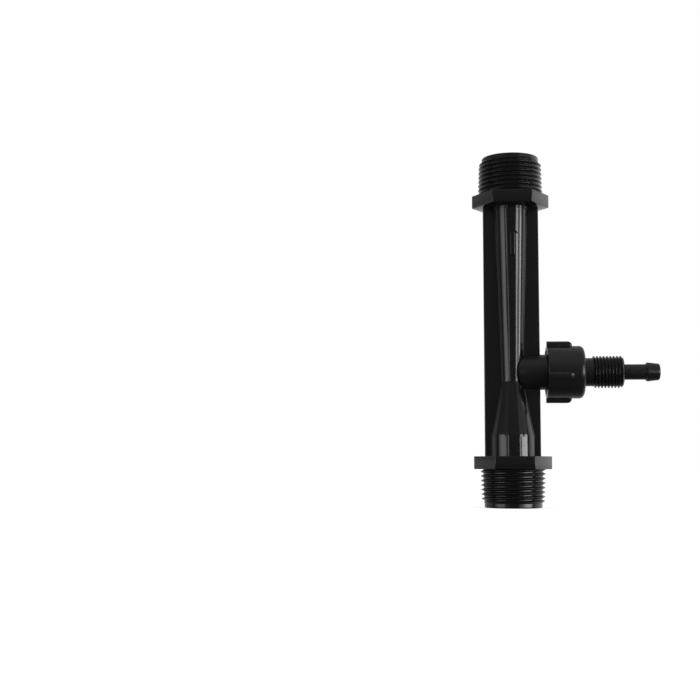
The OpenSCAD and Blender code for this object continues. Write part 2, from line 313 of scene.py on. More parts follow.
def soften(corners):
    """Points (radius, height) of an outline whose corners (radius, height, rounding) become arcs.

    Short supports beside each arc keep the long straight stretches true when shaded smooth.
    """
    points = []
    last = len(corners) - 1
    for i, (x, y, rounding) in enumerate(corners):
        if rounding == 0 or i in (0, last):
            points.append((x, y))
            continue
        back = (corners[i - 1][0] - x, corners[i - 1][1] - y)
        ahead = (corners[i + 1][0] - x, corners[i + 1][1] - y)
        back_angle = math.atan2(back[1], back[0])
        turn = math.remainder(math.atan2(ahead[1], ahead[0]) - back_angle, 2 * math.pi)
        reach = rounding / math.tan(abs(turn) / 2)
        middle = back_angle + turn / 2
        span = rounding / math.sin(abs(turn) / 2)
        centre = (x + span * math.cos(middle), y + span * math.sin(middle))
        sweep = math.copysign(math.pi - abs(turn), -turn)
        start = (x + reach * math.cos(back_angle), y + reach * math.sin(back_angle))
        start_angle = math.atan2(start[1] - centre[1], start[0] - centre[0])
        steps = max(3, math.ceil(abs(sweep) / ARC_STEP))
        if math.hypot(*back) > reach + 4 * SUPPORT:
            far = reach + SUPPORT
            points.append((x + far * math.cos(back_angle), y + far * math.sin(back_angle)))
        for k in range(steps + 1):
            angle = start_angle + sweep * k / steps
            points.append((centre[0] + rounding * math.cos(angle), centre[1] + rounding * math.sin(angle)))
        if math.hypot(*ahead) > reach + 4 * SUPPORT:
            far = reach + SUPPORT
            points.append((x + far * math.cos(back_angle + turn), y + far * math.sin(back_angle + turn)))
    return points


def draw_line(name, points):
    """A chain of edges through points (x, z), extruded one by one from a single vertex."""
    bpy.ops.object.select_all(action="DESELECT")
    bpy.ops.mesh.primitive_plane_add(size=MM)
    obj = bpy.context.object
    obj.name = name
    edit(obj)
    bpy.ops.mesh.merge(type="CENTER")
    bpy.ops.transform.translate(value=(points[0][0], 0, points[0][1]))
    for (x0, z0), (x1, z1) in zip(points, points[1:]):
        bpy.ops.mesh.extrude_vertices_move(TRANSFORM_OT_translate={"value": (x1 - x0, 0, z1 - z0)})
    leave_edit()
    return obj


def turned(name, corners):
    """A solid turned about Z from an outline of corners (radius, height, rounding)."""
    obj = draw_line(name, soften(corners))
    edit(obj)
    bpy.ops.mesh.spin(steps=TURN_STEPS, angle=2 * math.pi, center=(0, 0, 0), axis=(0, 0, 1))
    leave_edit()
    weld(obj)
    return obj


def prism(name, outline, depth):
    """A closed outline of points (x, z), filled and drawn out along +Y."""
    obj = draw_line(name, [*outline, outline[0]])
    edit(obj)
    bpy.ops.mesh.remove_doubles(threshold=WELD)
    bpy.ops.mesh.select_all(action="SELECT")
    bpy.ops.mesh.edge_face_add()
    bpy.ops.mesh.extrude_region_move(TRANSFORM_OT_translate={"value": (0, depth, 0)})
    leave_edit()
    weld(obj)
    return obj


# One turn of a thread: share of the pitch and share of the depth, from root to root
THREAD_FORM = ((0.0, 0.0), (0.07, 0.0), (0.15, 0.12), (0.4, 0.88), (0.43, 0.95), (0.46, 0.985), (0.5, 1.0),
               (0.54, 0.985), (0.57, 0.95), (0.6, 0.88), (0.85, 0.12), (0.93, 0.0), (1.0, 0.0))


def threaded_rod(name, crest_r, depth, pitch, low, high, crest_at):
    """A solid rod from low to high along Z with a true right-hand helical thread.

    crest_at is a height at which a crest passes the +X side.
    """
    root_r = crest_r - depth
    start = crest_at - pitch / 2
    start -= pitch * (math.ceil((start - low) / pitch) + 1)
    obj = draw_line(name, [(root_r + depth * rise, start + pitch * share) for share, rise in THREAD_FORM])
    screw = obj.modifiers.new("Screw", "SCREW")
    screw.axis = "Z"
    screw.angle = 2 * math.pi
    screw.screw_offset = pitch
    screw.iterations = math.ceil((high - start) / pitch) + 1
    screw.steps = TURN_STEPS
    screw.render_steps = TURN_STEPS
    select_only(obj)
    bpy.ops.object.modifier_apply(modifier=screw.name)
    edit(obj)
    bpy.ops.mesh.remove_doubles(threshold=WELD)
    bpy.ops.mesh.select_all(action="SELECT")
    bpy.ops.mesh.bisect(plane_co=(0, 0, low), plane_no=(0, 0, 1), use_fill=True, clear_inner=True,
                        threshold=WELD)
    bpy.ops.mesh.select_all(action="SELECT")
    bpy.ops.mesh.bisect(plane_co=(0, 0, high), plane_no=(0, 0, 1), use_fill=True, clear_outer=True,
                        threshold=WELD)
    leave_edit()
    weld(obj)
    return obj


def limit_radius(obj, allowed, taper=lambda z: 0.0):
    """Tapers a rod about Z and pulls in its points that lie outside the radius allowed at their height."""
    for vertex in obj.data.vertices:
        radius = math.hypot(vertex.co.x, vertex.co.y)
        wanted = min(radius - taper(vertex.co.z), allowed(vertex.co.z))
        vertex.co.x *= wanted / radius
        vertex.co.y *= wanted / radius


def block(name, low, high):
    """A box between two corners."""
    bpy.ops.object.select_all(action="DESELECT")
    bpy.ops.mesh.primitive_cube_add(size=1, location=[(a + b) / 2 for a, b in zip(low, high)])
    obj = bpy.context.object
    obj.name = name
    obj.scale = [b - a for a, b in zip(low, high)]
    apply_place(obj)
    return obj


def bevel_edges(obj, chosen, width, segments):
    """Rounds the edges for which chosen(start, end) is true."""
    edit(obj)
    bpy.ops.mesh.select_mode(type="EDGE")
    bpy.ops.mesh.select_all(action="DESELECT")
    leave_edit()
    vertices = obj.data.vertices
    for edge in obj.data.edges:
        edge.select = chosen(vertices[edge.vertices[0]].co, vertices[edge.vertices[1]].co)
    bpy.ops.object.mode_set(mode="EDIT")
    bpy.ops.mesh.bevel(offset=width, segments=segments, profile=0.5, affect="EDGES", clamp_overlap=True)
    bpy.ops.mesh.select_mode(type="VERT")
    leave_edit()


def combine(obj, tool, operation):
    """Joins, cuts or crops obj with tool, and removes tool."""
    boolean = obj.modifiers.new("Boolean", "BOOLEAN")
    boolean.operation = operation
    boolean.solver = "EXACT"
    boolean.object = tool
    select_only(obj)
    bpy.ops.object.modifier_apply(modifier=boolean.name)
    bpy.data.objects.remove(tool)


def stand_on_port(obj):
    """Lays a shape that was made along Z onto the port axis."""
    obj.rotation_euler = (0, math.pi / 2, 0)
    obj.location = (0, 0, PORT_Z)
    apply_place(obj)


def complete(obj, node, body, material):
    """Shades a piece, gives it its material and ties it to the frame."""
    weld(obj)
    select_only(obj)
    bpy.ops.object.shade_smooth_by_angle(angle=SMOOTH_ANGLE)
    obj.data.materials.clear()
    obj.data.materials.append(material)
    obj.name = node + "_look"
    obj.data.name = obj.name
    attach(obj, body)
    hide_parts(node)


# Materials

PLASTIC_IOR = 1.5
# Roughness that the body's pipe ends and its port have on top of the tube's, and how far it takes to set in
END_DULLNESS = 0.08
END_FADE = 0.1 * MM
PORT_DULLNESS = 0.18
PORT_FADE = 1.0 * MM
# Share by which a colour drifts either way, and height of the skin's relief
TINT_DRIFT = 0.15
SKIN_HEIGHT = 0.02 * MM
# Flow lines are drawn out along the tube, and only the noise above the lower limit is a rubbed spot
FLOW_STRETCH = (1.0, 1.0, 0.18)
RUB_LIMITS = (0.58, 0.78)


class Finish(NamedTuple):
    """A moulded surface: its gloss, its rubbed spots, its grain and the scales of these patterns."""

    roughness: float
    rub: float
    grain: float
    bump: float
    grain_scale: float
    flow_scale: float
    rub_scale: float


BODY_FINISH = Finish(roughness=0.11, rub=0.08, grain=0.25, bump=0.08,
                     grain_scale=900.0, flow_scale=60.0, rub_scale=130.0)
FITTING_FINISH = Finish(roughness=0.27, rub=0.1, grain=0.5, bump=0.1,
                        grain_scale=1400.0, flow_scale=90.0, rub_scale=200.0)
WASHER_FINISH = Finish(roughness=0.62, rub=0.15, grain=1.0, bump=0.5,
                       grain_scale=1600.0, flow_scale=120.0, rub_scale=260.0)
BALL_FINISH = Finish(roughness=0.22, rub=0.08, grain=0.3, bump=0.1,
                     grain_scale=1200.0, flow_scale=120.0, rub_scale=300.0)


def map_range(nodes, links, value, low, high, to_low=0.0, to_high=1.0):
    """Output of a Map Range node that turns low to high into to_low to to_high."""
    node = nodes.new("ShaderNodeMapRange")
    for label, number in (("From Min", low), ("From Max", high), ("To Min", to_low), ("To Max", to_high)):
        node.inputs[label].default_value = number
    links.new(value, node.inputs["Value"])
    return node.outputs["Result"]


def maths(nodes, links, operation, *values):
    """Output of a Math node whose inputs are other outputs or plain numbers."""
    node = nodes.new("ShaderNodeMath")
    node.operation = operation
    for socket, value in zip(node.inputs, values):
        if isinstance(value, float):
            socket.default_value = value
        else:
            links.new(value, socket)
    return node.outputs["Value"]


def noise(nodes, links, vector, scale, settings):
    """Output of a Noise Texture node with further settings by socket name."""
    node = nodes.new("ShaderNodeTexNoise")
    for label, value in settings.items():
        node.inputs[label].default_value = value
    links.new(vector, node.inputs["Vector"])
    links.new(scale, node.inputs["Scale"])
    return node.outputs["Fac"]


def moulded_skin():
    """Node group: fine grain, faint flow lines and rubbed spots of an injection moulding."""
    name = "Moulded skin"
    if name in bpy.data.node_groups:
        return bpy.data.node_groups[name]
    group = bpy.data.node_groups.new(name, "ShaderNodeTree")
    for label in ("Grain Scale", "Flow Scale", "Rub Scale", "Grain"):
        group.interface.new_socket(name=label, in_out="INPUT", socket_type="NodeSocketFloat")
    for label in ("Height", "Mottle", "Rub"):
        group.interface.new_socket(name=label, in_out="OUTPUT", socket_type="NodeSocketFloat")
    nodes = group.nodes
    links = group.links
    source = nodes.new("NodeGroupInput")
    result = nodes.new("NodeGroupOutput")
    place = nodes.new("ShaderNodeTexCoord").outputs["Object"]

    grain = noise(nodes, links, place, source.outputs["Grain Scale"], {"Detail": 3.0, "Roughness": 0.6})
    along_tube = nodes.new("ShaderNodeMapping")
    along_tube.inputs["Scale"].default_value = FLOW_STRETCH
    links.new(place, along_tube.inputs["Vector"])
    flow = noise(nodes, links, along_tube.outputs["Vector"], source.outputs["Flow Scale"],
                 {"Detail": 2.0, "Distortion": 0.6})
    rub = noise(nodes, links, place, source.outputs["Rub Scale"], {"Detail": 5.0, "Roughness": 0.7})

    share = maths(nodes, links, "MULTIPLY", grain, source.outputs["Grain"])
    links.new(maths(nodes, links, "ADD", share, flow), result.inputs["Height"])
    links.new(flow, result.inputs["Mottle"])
    links.new(map_range(nodes, links, rub, *RUB_LIMITS), result.inputs["Rub"])
    return group


def dull_ends_and_port(nodes, links, roughness):
    """Roughness that is higher on the body's pipe ends and on its port, which are less polished."""
    ends = bpy.context.scene.injector_ends
    port = bpy.context.scene.injector_port
    split = nodes.new("ShaderNodeSeparateXYZ")
    links.new(nodes.new("ShaderNodeTexCoord").outputs["Object"], split.inputs["Vector"])
    x, y, z = (split.outputs[axis] for axis in "XYZ")
    half = BODY_HIGH.z / 2
    tube_half = half - ends.thread_end
    from_middle = maths(nodes, links, "ABSOLUTE", maths(nodes, links, "SUBTRACT", z, half))
    on_end = map_range(nodes, links, from_middle, tube_half, tube_half + END_FADE, 0.0, END_DULLNESS)

    above_port = maths(nodes, links, "SUBTRACT", z, PORT_Z)
    squares = maths(nodes, links, "ADD", maths(nodes, links, "MULTIPLY", y, y),
                    maths(nodes, links, "MULTIPLY", above_port, above_port))
    near_port = maths(nodes, links, "LESS_THAN", squares, (port.neck_r + TUCK) ** 2)
    outside = map_range(nodes, links, x, port.root_x, port.root_x + PORT_FADE, 0.0, PORT_DULLNESS)
    on_port = maths(nodes, links, "MULTIPLY", near_port, outside)
    return maths(nodes, links, "ADD", maths(nodes, links, "ADD", roughness, on_end), on_port)


def moulded_material(name, base, finish, dull_ends=False):
    """A moulded plastic or rubber: base colour that drifts slightly, uneven gloss and a fine skin."""
    if name in bpy.data.materials:
        return bpy.data.materials[name]
    material = bpy.data.materials.new(name)
    material.use_nodes = True
    nodes = material.node_tree.nodes
    links = material.node_tree.links
    shader = nodes["Principled BSDF"]
    shader.inputs["IOR"].default_value = PLASTIC_IOR

    skin = nodes.new("ShaderNodeGroup")
    skin.node_tree = moulded_skin()
    for label, value in (("Grain Scale", finish.grain_scale), ("Flow Scale", finish.flow_scale),
                         ("Rub Scale", finish.rub_scale), ("Grain", finish.grain)):
        skin.inputs[label].default_value = value

    tint = nodes.new("ShaderNodeMix")
    tint.data_type = "RGBA"
    for label, drift in (("A", 1 - TINT_DRIFT), ("B", 1 + TINT_DRIFT)):
        tint.inputs[label].default_value = (*[min(1.0, c * drift) for c in base], 1.0)
    links.new(skin.outputs["Mottle"], tint.inputs["Factor"])
    links.new(tint.outputs["Result"], shader.inputs["Base Color"])

    roughness = map_range(nodes, links, skin.outputs["Rub"], 0.0, 1.0,
                          finish.roughness, finish.roughness + finish.rub)
    if dull_ends:
        roughness = dull_ends_and_port(nodes, links, roughness)
    links.new(roughness, shader.inputs["Roughness"])

    relief = nodes.new("ShaderNodeBump")
    relief.inputs["Strength"].default_value = finish.bump
    relief.inputs["Distance"].default_value = SKIN_HEIGHT
    links.new(skin.outputs["Height"], relief.inputs["Height"])
    links.new(relief.outputs["Normal"], shader.inputs["Normal"])
    return material


def body_plastic():
    """Glossy moulding of the body, less polished at its ends and port."""
    looks = bpy.context.scene.injector_looks
    return moulded_material("Gloss black plastic", looks.gloss_black, BODY_FINISH, dull_ends=True)


def fitting_plastic():
    """Satin moulding of the nut and the hose tail."""
    looks = bpy.context.scene.injector_looks
    return moulded_material("Satin black plastic", looks.satin_black, FITTING_FINISH)


def washer_rubber():
    """Matt rubber of the seat washer."""
    looks = bpy.context.scene.injector_looks
    return moulded_material("Washer rubber", looks.washer_grey, WASHER_FINISH)


def ball_plastic():
    """Smooth pale plastic of the check ball."""
    looks = bpy.context.scene.injector_looks
    return moulded_material("Ball plastic", looks.ball_white, BALL_FINISH)


# Pieces

def pipe_end(name, ends, start, crest_at):
    """Pilot, thread and collar of one pipe end, standing on z = 0."""
    thread = threaded_rod(name, ends.thread_r, ends.thread_depth, ends.thread_pitch, start,
                          ends.thread_end + SINK, crest_at)

    def taper(z):
        return ends.thread_taper * max(ends.thread_end - z, 0.0)

    def allowed(z):
        return ends.pilot_r - TUCK + (z - start) * ends.thread_depth / ends.thread_lead

    limit_radius(thread, allowed, taper)
    pilot = turned("pilot", (
        (0, 0, 0),
        (ends.pilot_r, 0, ends.pilot_edge),
        (ends.pilot_r, ends.pilot_h + SINK, 0),
        (0, ends.pilot_h + SINK, 0),
    ))
    combine(thread, pilot, "UNION")

    bpy.ops.object.select_all(action="DESELECT")
    bpy.ops.mesh.primitive_cylinder_add(vertices=6, radius=ends.hex_corner, depth=ends.hex_h,
                                        location=(0, 0, ends.thread_end + ends.hex_h / 2),
                                        rotation=(0, 0, math.pi / 2))
    collar = bpy.context.object
    apply_place(collar)
    bevel_edges(collar, lambda a, b: True, ends.hex_edge, segments=3)
    combine(thread, collar, "UNION")
    return thread


class INJECTOR_OT_body(Operator):
    """Models the one-piece body with its threads, collars, tube, webs, port and passages"""

    bl_idname = "injector.body"
    bl_label = "Injector Body"

    def execute(self, context):
        ends = context.scene.injector_ends
        tube = context.scene.injector_tube
        port = context.scene.injector_port
        total = BODY_HIGH.z
        collar_end = ends.thread_end + ends.hex_h
        outlet_collar = total - collar_end

        body = turned("injector_body_look", (
            (0, collar_end - SINK, 0),
            (tube.barrel_r, collar_end - SINK, 0),
            (tube.barrel_r, tube.barrel_top, tube.barrel_round),
            (tube.waist_r, tube.waist_z, tube.waist_round),
            (tube.diffuser_r, outlet_collar + SINK, 0),
            (0, outlet_collar + SINK, 0),
        ))

        webs = block("webs", (-tube.web_w / 2, -tube.web_t / 2, collar_end - SINK),
                     (tube.web_w / 2, tube.web_t / 2, outlet_collar + SINK))
        bevel_edges(webs, lambda a, b: abs(a.z - b.z) > LEVEL, tube.web_edge, segments=3)
        combine(body, webs, "UNION")

        inlet = pipe_end("inlet_end", ends, ends.inlet_start, ends.inlet_crest)
        combine(body, inlet, "UNION")
        outlet = pipe_end("outlet_end", ends, ends.outlet_start, ends.outlet_crest)
        outlet.rotation_euler = (math.pi, 0, 0)
        outlet.location = (0, 0, total)
        apply_place(outlet)
        combine(body, outlet, "UNION")

        combine(body, self.port_neck(port), "UNION")

        union = threaded_rod("union_thread", port.thread_r, port.thread_depth, port.thread_pitch,
                             port.thread_x, PORT_END, port.thread_x)
        root_r = port.thread_r - port.thread_depth

        def allowed(z):
            rise = min(z - port.thread_x, PORT_END - z)
            return root_r - TUCK + rise * port.thread_depth / port.thread_lead

        limit_radius(union, allowed)
        stand_on_port(union)
        combine(body, union, "UNION")

        combine(body, self.arrow(tube, outlet_collar), "UNION")
        combine(body, self.flow_passage(ends, tube, total, collar_end, outlet_collar), "DIFFERENCE")
        combine(body, self.suction_passage(port), "DIFFERENCE")
        complete(body, "injector_body", "body", body_plastic())
        return {"FINISHED"}

    def port_neck(self, port):
        """Round neck of the port, drawn in to the tube's depth and with rounded corners at its root."""
        low = port.root_x - SINK
        top = PORT_END - 2 * SINK
        neck = turned("port_neck", (
            (0, low, 0),
            (port.neck_r, low, 0),
            (port.neck_r, port.root_end, 0),
            (port.neck_r, top, 0),
            (0, top, 0),
        ))
        edit(neck)
        bpy.ops.mesh.select_all(action="DESELECT")
        leave_edit()
        for vertex in neck.data.vertices:
            vertex.select = vertex.co.z < low + WELD
        bpy.ops.object.mode_set(mode="EDIT")
        bpy.ops.transform.resize(value=(1, port.root_depth / port.neck_r, 1), center_override=(0, 0, low))
        leave_edit()
        outline = soften((
            (-port.root_half, top + SINK, 0),
            (-port.root_half, port.root_x, port.root_round),
            (port.root_half, port.root_x, port.root_round),
            (port.root_half, top + SINK, 0),
        ))
        depth = 2 * (port.neck_r + PAST)
        side = prism("neck_side", outline, depth)
        side.location.y = -depth / 2
        apply_place(side)
        combine(neck, side, "INTERSECT")
        stand_on_port(neck)
        return neck

    def arrow(self, tube, outlet_collar):
        """Raised arrow along the diffuser's front that shows the flow direction."""
        half_shaft = tube.arrow_shaft_w / 2
        half_head = tube.arrow_head_w / 2
        neck_z = tube.arrow_high - tube.arrow_head_h
        outline = ((-half_shaft, tube.arrow_low), (half_shaft, tube.arrow_low), (half_shaft, neck_z),
                   (half_head, neck_z), (0, tube.arrow_high), (-half_head, neck_z), (-half_shaft, neck_z))
        slope = (tube.diffuser_r - tube.waist_r) / (outlet_collar - tube.waist_z)
        middle = (tube.arrow_low + tube.arrow_high) / 2
        surface = tube.waist_r + slope * (middle - tube.waist_z)
        arrow = prism("flow_arrow", [(x, z - middle) for x, z in outline], tube.arrow_base)
        front = -(tube.arrow_proud + surface)
        bevel_edges(arrow, lambda a, b: max(a.y, b.y) < LEVEL, tube.arrow_edge, segments=5)
        arrow.location = (tube.arrow_x, front, middle)
        arrow.rotation_euler = (math.atan(slope), 0, 0)
        apply_place(arrow)
        return arrow

    def flow_passage(self, ends, tube, total, collar_end, outlet_collar):
        """The hollow that the water runs through."""
        barrel_bore = tube.barrel_r - tube.wall
        diffuser_bore = tube.diffuser_r - tube.wall
        edge = ends.pilot_edge
        return turned("flow_passage", (
            (0, -PAST, 0),
            (ends.bore_r + edge + PAST, -PAST, 0),
            (ends.bore_r, edge, 0),
            (ends.bore_r, ends.thread_end, tube.passage_round),
            (barrel_bore, collar_end, tube.passage_round),
            (barrel_bore, tube.barrel_top, tube.cone_round),
            (tube.nozzle_r, tube.waist_z - tube.nozzle_h, tube.passage_round),
            (tube.nozzle_r, tube.waist_z, 0),
            (tube.throat_r, tube.waist_z, 0),
            (tube.throat_r, PORT_Z + tube.throat_run, tube.throat_round),
            (diffuser_bore, outlet_collar, tube.passage_round),
            (ends.bore_r, total - ends.thread_end, tube.passage_round),
            (ends.bore_r, total - edge, 0),
            (ends.bore_r + edge + PAST, total + PAST, 0),
            (0, total + PAST, 0),
        ))

    def suction_passage(self, port):
        """The hole into the throat and the valve chamber, less the ribs that stop the open ball."""
        mouth = PORT_END
        passage = turned("suction_passage", (
            (0, 0, 0),
            (port.suction_r, 0, 0),
            (port.suction_r, port.chamber_x, 0),
            (port.chamber_r, port.chamber_x, port.chamber_round),
            (port.chamber_r, mouth - port.mouth_edge, 0),
            (port.chamber_r + port.mouth_edge + PAST, mouth + PAST, 0),
            (0, mouth + PAST, 0),
        ))
        for k in range(port.rib_count):
            rib = block("stop_rib", (port.suction_r + port.rib_gap, -port.rib_t / 2, port.chamber_x - SINK),
                        (port.chamber_r + SINK, port.rib_t / 2, port.rib_x))
            bevel_edges(rib, lambda a, b: min(a.z, b.z) > port.rib_x - LEVEL, port.rib_edge, segments=2)
            rib.rotation_euler = (0, 0, k * 2 * math.pi / port.rib_count)
            apply_place(rib)
            combine(passage, rib, "DIFFERENCE")
        stand_on_port(passage)
        return passage


class INJECTOR_OT_union_nut(Operator):
    """Models the ribbed union nut with its inner thread"""

    bl_idname = "injector.union_nut"
    bl_label = "Union Nut"

    def execute(self, context):
        sizes = context.scene.injector_nut
        port = context.scene.injector_port
        start = NUT_LOW.x
        end = NUT_HIGH.x
        nut = turned("union_nut_look", (
            (0, start, 0),
            (sizes.body_r, start, sizes.start_round),
            (sizes.body_r, end, sizes.end_round),
            (0, end, 0),
        ))
        rib = self.grip_rib(sizes)
        for k in range(sizes.rib_count):
            select_only(rib)
            bpy.ops.object.duplicate(linked=False)
            copy = bpy.context.object
            copy.rotation_euler = (0, 0, sizes.clock + k * 2 * math.pi / sizes.rib_count)
            apply_place(copy)
            combine(nut, copy, "UNION")
        bpy.data.objects.remove(rib)

        slip = sizes.thread_slip
        thread = threaded_rod("nut_thread", port.thread_r + slip, port.thread_depth, port.thread_pitch,
                              start - PAST, sizes.thread_stop, port.thread_x)
        combine(nut, thread, "DIFFERENCE")
        mouth_r = port.thread_r + sizes.mouth_edge
        seat = turned("nut_seat", (
            (0, start - PAST, 0),
            (mouth_r + PAST, start - PAST, 0),
            (sizes.bore_r, start + mouth_r - sizes.bore_r, 0),
            (sizes.bore_r, sizes.shoulder_x, sizes.seat_round),
            (sizes.hole_r, sizes.shoulder_x, 0),
            (sizes.hole_r, end - sizes.hole_edge, 0),
            (sizes.hole_r + sizes.hole_edge + PAST, end + PAST, 0),
            (0, end + PAST, 0),
        ))
        combine(nut, seat, "DIFFERENCE")
        stand_on_port(nut)
        complete(nut, "union_nut", "nut", fitting_plastic())
        return {"FINISHED"}

    def grip_rib(self, sizes):
        """One grip rib on the +X side, rounded at its end and along its rims."""
        start = NUT_LOW.x
        end = start + sizes.rib_len
        rib = block("grip_rib", (sizes.body_r - sizes.rib_root, -sizes.rib_w / 2, start),
                    (sizes.rib_r, sizes.rib_w / 2, end))

        def is_end(a, b):
            return min(a.x, b.x) > sizes.rib_r - LEVEL and min(a.z, b.z) > end - LEVEL

        def is_rim(a, b):
            on_side = abs(a.y) > sizes.rib_w / 2 - LEVEL and abs(a.y - b.y) < LEVEL
            return on_side and max(a.x, b.x) > sizes.body_r - SINK and max(a.z, b.z) > start + LEVEL

        bevel_edges(rib, is_end, sizes.rib_round, segments=8)
        bevel_edges(rib, is_rim, sizes.rib_edge, segments=6)
        return rib


class INJECTOR_OT_hose_tail(Operator):
    """Models the hose tail with its flange, threaded shank and barb"""

    bl_idname = "injector.hose_tail"
    bl_label = "Hose Tail"

    def execute(self, context):
        sizes = context.scene.injector_tail
        start = TAIL_LOW.x
        end = TAIL_HIGH.x
        root_r = sizes.thread_r - sizes.thread_depth
        shank_end = sizes.thread_end - 2 * SINK
        barb_top = sizes.barb_x + sizes.barb_shoulder
        tail = turned("hose_tail_look", (
            (0, start, 0),
            (sizes.flange_r, start, sizes.flange_edge),
            (sizes.flange_r, sizes.flange_end, sizes.flange_edge),
            (sizes.thread_r, sizes.flange_end, 0),
            (sizes.thread_r, sizes.land_end, sizes.flange_edge),
            (sizes.neck_r, sizes.land_end, 0),
            (sizes.neck_r, shank_end, 0),
            (sizes.tube_r, shank_end, 0),
            (sizes.tube_r, sizes.barb_x, sizes.barb_root),
            (sizes.barb_r, barb_top, sizes.barb_edge),
            (sizes.barb_r, barb_top + sizes.barb_land, sizes.barb_round),
            (sizes.tip_r, end, sizes.tip_round),
            (0, end, 0),
        ))
        thread = threaded_rod("tail_thread", sizes.thread_r, sizes.thread_depth, sizes.thread_pitch,
                              sizes.thread_x, sizes.thread_end, sizes.thread_crest)

        def allowed(z):
            rise = min((z - sizes.thread_x) / sizes.thread_run_in, (sizes.thread_end - z) / sizes.thread_lead)
            return root_r + sizes.thread_depth * rise

        limit_radius(thread, allowed)
        combine(tail, thread, "UNION")
        passage = turned("tail_passage", (
            (0, start - PAST, 0),
            (sizes.bore_r + sizes.bore_lead + PAST, start - PAST, 0),
            (sizes.bore_r, start + sizes.bore_lead, 0),
            (sizes.bore_r, end - sizes.bore_edge, 0),
            (sizes.bore_r + sizes.bore_edge + PAST, end + PAST, 0),
            (0, end + PAST, 0),
        ))
        combine(tail, passage, "DIFFERENCE")
        stand_on_port(tail)
        complete(tail, "hose_tail", "tail", fitting_plastic())
        return {"FINISHED"}


class INJECTOR_OT_valve(Operator):
    """Gives the check ball and its seat washer their finish"""

    bl_idname = "injector.valve"
    bl_label = "Check Valve"

    def execute(self, context):
        for node, material in (("check_ball", ball_plastic()), ("seat_washer", washer_rubber())):
            obj = frame["nodes"][node]
            obj.data.materials.clear()
            obj.data.materials.append(material)
        return {"FINISHED"}


# Stage

WHITE = (1.0, 1.0, 1.0, 1.0)
FLOOR_RADIUS = 6.0
FLOOR_POINTS = 96
FLOOR_GREY = 0.8
# Light that the camera sees on the floor on top of what the lamps give, up to white
FLOOR_LIFT = 0.62
CLIP_START = 0.01
LAMP_DISTANCE = 600 * MM

# Panels of the softboxes: bearings in degrees seen from the object, heights in mm, share of the light
LEFT_PANELS = (
    ("Left panel", (-68, -45), (-45, 216), 1.0),
    ("Left outer panel", (-79, -68), (-45, 216), 0.5),
    ("Left low panel", (-45, -36), (-45, 90), 0.92),
    ("Left strip", (-29, -23.5), (5, 140), 0.9),
    ("Left top panel", (-60, -28), (250, 330), 0.045),
)
RIGHT_PANELS = (
    ("Right panel", (64, 76), (60, 216), 1.0),
    ("Right dim panel", (46, 64), (60, 216), 0.18),
    ("Right strip", (36, 46), (60, 216), 0.85),
    ("Right high strip", (46, 50), (150, 216), 0.9),
    ("Right low panel", (44, 76), (-5, 60), 1.1),
    ("Right low strip", (33.5, 38.5), (5, 60), 0.7),
    ("Right foot panel", (38, 72), (-60, -5), 0.75),
    ("Right foot strip", (20, 38), (-60, -5), 0.22),
    ("Right top panel", (34, 86), (240, 340), 0.045),
)
TILTED_STRIP = ("Left high strip", (-35.5, -31), (130, 235), 0.95)
STRIP_TILT = math.radians(45)

# Studio light by height, from straight down (0) over the horizon (0.5) to straight up (1)
LEFT_LEVELS = ((0.0, 0.05), (0.25, 0.3), (0.45, 0.45), (0.5, 0.5), (0.53, 0.42), (0.57, 0.28), (0.6, 0.36),
               (0.75, 0.36), (1.0, 0.4))
RIGHT_LEVELS = ((0.0, 0.05), (0.25, 0.5), (0.45, 1.0), (0.5, 1.15), (0.64, 1.1), (0.7, 0.6), (0.8, 0.45),
                (1.0, 0.4))
FRONT_LEVELS = ((0.0, 0.03), (0.45, 0.06), (0.5, 0.1), (0.58, 0.1), (0.62, 0.15), (0.7, 0.15), (0.85, 0.35),
                (1.0, 0.4))
# Parts of a unit direction over which the studio changes from left to right and from front to back
LEFT_TO_RIGHT = (-0.8, 0.8)
FRONT_TO_BACK = (0.02, 0.18)


def ramp(nodes, levels):
    """A colour ramp through grey levels at given positions."""
    node = nodes.new("ShaderNodeValToRGB")
    elements = node.color_ramp.elements
    while len(elements) < len(levels):
        elements.new(0.5)
    for element, (position, level) in zip(elements, levels):
        element.position = position
        element.color = (level, level, level, 1.0)
    return node


def blend(nodes, links, value, limits, low, high):
    """The colour low where value is under the limits and high where it is over them, mixed between."""
    mix = nodes.new("ShaderNodeMix")
    mix.data_type = "RGBA"
    links.new(map_range(nodes, links, value, *limits), mix.inputs["Factor"])
    links.new(low, mix.inputs["A"])
    links.new(high, mix.inputs["B"])
    return mix.outputs["Result"]


def studio_levels(nodes, links, yaw):
    """Grey levels of the studio by direction: dark round the camera, white behind the object."""
    turn = nodes.new("ShaderNodeMapping")
    turn.inputs["Rotation"].default_value = (0.0, 0.0, -yaw)
    links.new(nodes.new("ShaderNodeTexCoord").outputs["Generated"], turn.inputs["Vector"])
    split = nodes.new("ShaderNodeSeparateXYZ")
    links.new(turn.outputs["Vector"], split.inputs["Vector"])
    height = map_range(nodes, links, split.outputs["Z"], -1.0, 1.0)
    levels = []
    for stops in (LEFT_LEVELS, RIGHT_LEVELS, FRONT_LEVELS):
        level = ramp(nodes, stops)
        links.new(height, level.inputs["Fac"])
        levels.append(level.outputs["Color"])
    left, right, front = levels
    back = blend(nodes, links, split.outputs["X"], LEFT_TO_RIGHT, left, right)
    return blend(nodes, links, split.outputs["Y"], FRONT_TO_BACK, front, back)


def background(nodes, strength=1.0):
    """A white Background node."""
    node = nodes.new("ShaderNodeBackground")
    node.inputs["Color"].default_value = WHITE
    node.inputs["Strength"].default_value = strength
    return node


def mix_shaders(nodes, links, share, first, second):
    """Output of a Mix Shader node."""
    node = nodes.new("ShaderNodeMixShader")
    for socket, output in zip(node.inputs, (share, first, second)):
        links.new(output, socket)
    return node.outputs["Shader"]


